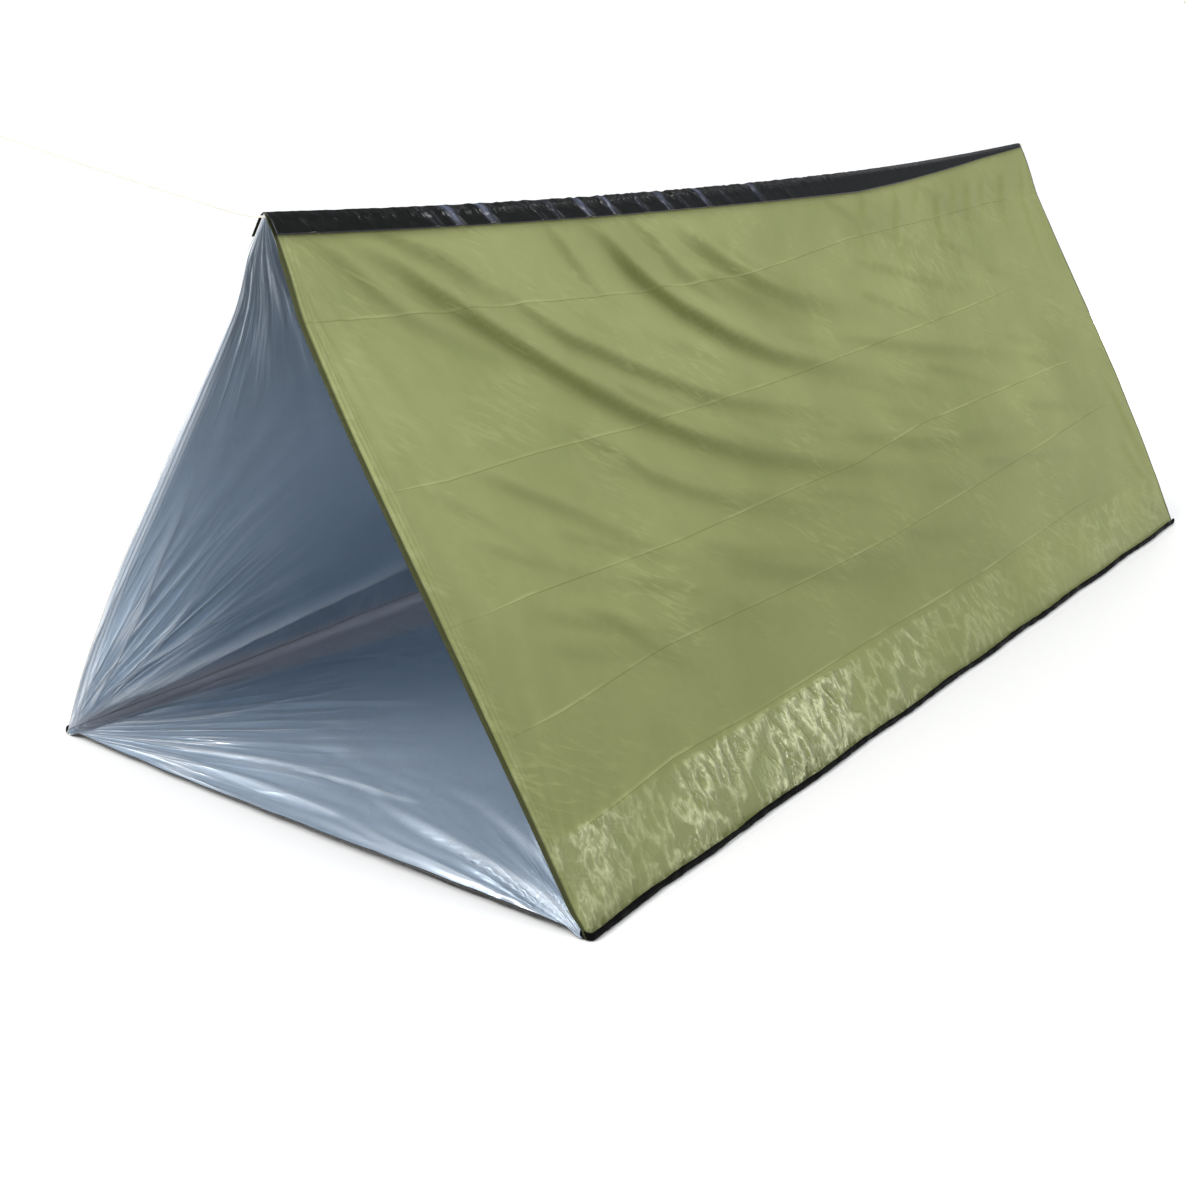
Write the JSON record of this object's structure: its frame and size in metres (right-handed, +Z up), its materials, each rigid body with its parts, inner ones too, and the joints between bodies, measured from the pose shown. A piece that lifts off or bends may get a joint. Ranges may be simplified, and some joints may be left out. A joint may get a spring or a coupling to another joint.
{
  "type": "emergency tube tent",
  "caption": "A-frame shelter made of one tube of foil-lined plastic film, open at both ends and hung over a taut cord threaded through its ridge.",
  "frame": {"origin": "on the ground, under the middle of the tent", "axes": "+Z up, +Y along the ridge from the open front to the rear, +X towards the right wall as seen from the front"},
  "size_m": [1.0253, 4.1335, 1.2073],
  "materials": {
    "olive_film": "satin",
    "black_film": "gloss",
    "cord": "matte"
  },
  "bodies": {
    "film_tube": {"floor_film": "black_film", "left_wall_film": "olive_film", "right_wall_film": "olive_film", "ridge_strip": "black_film", "left_base_seam": "black_film", "right_base_seam": "black_film"},
    "ridge_line": {"ridge_cord": "cord", "front_guy_line": "cord", "front_guy_knot": "cord", "front_guy_loop": "cord", "rear_guy_line": "cord", "rear_guy_knot": "cord", "rear_guy_loop": "cord"}
  },
  "joints": [
    {"name": "ridge_drop", "type": "slide", "parent": "film_tube", "child": "ridge_line", "axis": [0, 0, 1], "range_m": [-0.78, 0], "deforming": ["left_wall_film", "right_wall_film", "ridge_strip"]}
  ]
}
